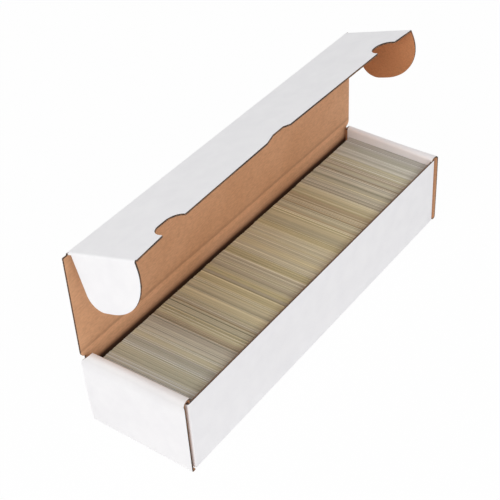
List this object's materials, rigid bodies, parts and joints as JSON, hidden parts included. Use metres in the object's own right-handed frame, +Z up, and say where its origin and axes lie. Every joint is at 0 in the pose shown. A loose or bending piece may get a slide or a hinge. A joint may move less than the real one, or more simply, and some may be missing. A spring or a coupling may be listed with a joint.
{
  "type": "card storage box",
  "caption": "Long corrugated card box with an upright hinged lid, a front flap with rounded ears and a full row of standing cards.",
  "frame": {"origin": "centre of the box's underside, on the surface that it stands on", "axes": "+X along the box, +Y from the front wall to the lid's hinge, +Z up"},
  "size_m": [0.3868, 0.1008, 0.196],
  "materials": {
    "white_board": "matte",
    "kraft_board": "matte",
    "cards": "matte"
  },
  "bodies": {
    "tray": {"bottom_panel": "white_board", "front_wall": "white_board", "back_wall": "white_board", "left_end_outer": "white_board", "left_end_roll": "white_board", "left_end_inner": "white_board", "left_front_corner_flap": "kraft_board", "left_back_corner_flap": "kraft_board", "right_end_outer": "white_board", "right_end_roll": "white_board", "right_end_inner": "white_board", "right_front_corner_flap": "kraft_board", "right_back_corner_flap": "kraft_board", "card_pack_01": "cards", "card_pack_02": "cards", "card_pack_03": "cards", "card_pack_04": "cards", "card_pack_05": "cards", "card_pack_06": "cards", "card_pack_07": "cards", "card_pack_08": "cards", "card_pack_09": "cards", "card_pack_10": "cards", "card_pack_11": "cards", "card_pack_12": "cards", "card_pack_13": "cards", "card_pack_14": "cards", "card_pack_15": "cards", "card_pack_16": "cards"},
    "band": {"hinge_band": "white_board"},
    "lid": {"lid_panel": "white_board"},
    "flap": {"front_flap": "white_board"},
    "left_ear": {"left_ear": "white_board"},
    "right_ear": {"right_ear": "white_board"}
  },
  "joints": [
    {"name": "lid_hinge", "type": "hinge", "parent": "tray", "child": "band", "pos_m": [0, 0.04966, 0.0704], "axis": [1, 0, 0], "range_deg": [-45, 45]},
    {"name": "lid_fold", "type": "hinge", "parent": "band", "child": "lid", "pos_m": [0, 0.04966, 0.07839], "axis": [1, 0, 0], "range_deg": [-45, 45]},
    {"name": "flap_hinge", "type": "hinge", "parent": "lid", "child": "flap", "pos_m": [0, 0.04966, 0.17278], "axis": [1, 0, 0], "range_deg": [-71.7, 17.4]},
    {"name": "left_ear_hinge", "type": "hinge", "parent": "flap", "child": "left_ear", "pos_m": [-0.18745, 0.04966, 0.17278], "axis": [0, -0.9494, 0.314], "range_deg": [-87.5, 2.5]},
    {"name": "right_ear_hinge", "type": "hinge", "parent": "flap", "child": "right_ear", "pos_m": [0.18745, 0.04966, 0.17278], "axis": [0, -0.9494, 0.314], "range_deg": [-9, 81]}
  ]
}
